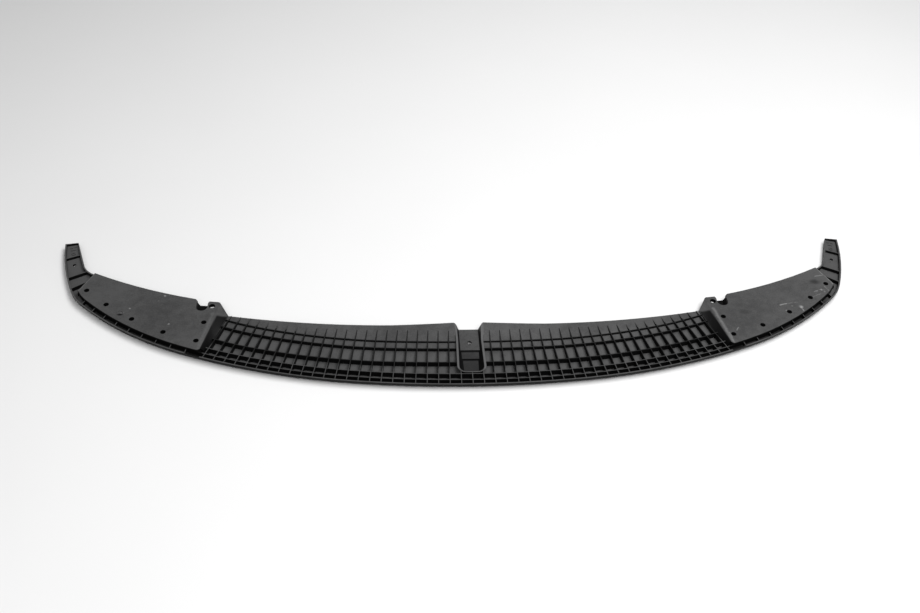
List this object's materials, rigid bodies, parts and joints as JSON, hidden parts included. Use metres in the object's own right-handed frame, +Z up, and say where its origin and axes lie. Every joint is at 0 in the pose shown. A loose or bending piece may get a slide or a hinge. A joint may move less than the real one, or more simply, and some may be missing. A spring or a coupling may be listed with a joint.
{
  "type": "front splitter lip",
  "caption": "Bowed one-piece car front splitter lip in black moulded plastic, ribbed on its upper side, with flat screw pads, upswept ends and a centre channel.",
  "frame": {"origin": "centre of the bounding box on the flat road side that it rests on", "axes": "+X across the car, +Y rearward (the bowed front edge faces -Y), +Z up out of the ribbed side"},
  "size_m": [1.6634, 0.4201, 0.0223],
  "materials": {
    "black_plastic": "fine moulded grain, matte to satin"
  },
  "bodies": {
    "root": {"splitter_lip": "black_plastic"}
  },
  "joints": []
}
